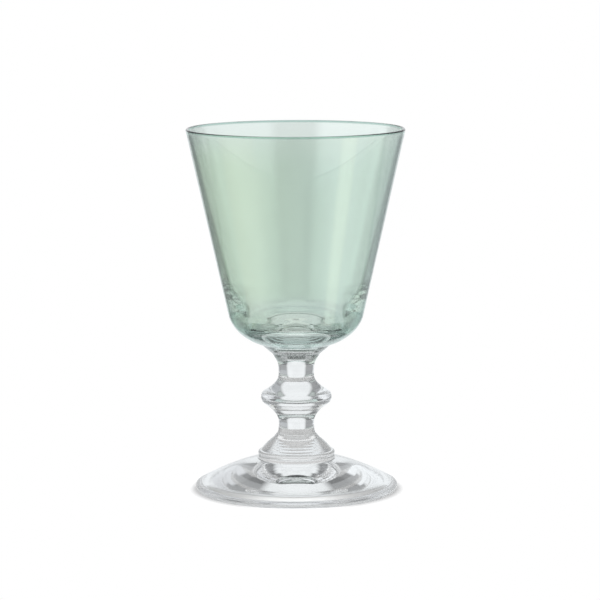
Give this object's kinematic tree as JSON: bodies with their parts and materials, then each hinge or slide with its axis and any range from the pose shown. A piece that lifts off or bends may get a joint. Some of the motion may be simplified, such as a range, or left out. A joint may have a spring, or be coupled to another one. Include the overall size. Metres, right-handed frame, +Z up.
{
  "type": "wine glass",
  "caption": "Small stemmed wine glass with a green lustre conical bowl, a clear stem with a disc-shaped knop and a round hollow-based foot.",
  "frame": {"origin": "centre of the foot's standing ring, on the surface that the glass stands on", "axes": "+Z up along the glass's own axis; the glass is round, so +X and +Y are any two directions across it"},
  "size_m": [0.08, 0.08, 0.1335],
  "materials": {
    "clear_glass": "clear, colourless, polished",
    "green_lustre": "transparent green metallic lustre film, glossy, slightly iridescent"
  },
  "bodies": {
    "root": {"bowl": "clear_glass", "lustre_coat": "green_lustre", "stem": "clear_glass", "foot": "clear_glass"}
  },
  "joints": []
}
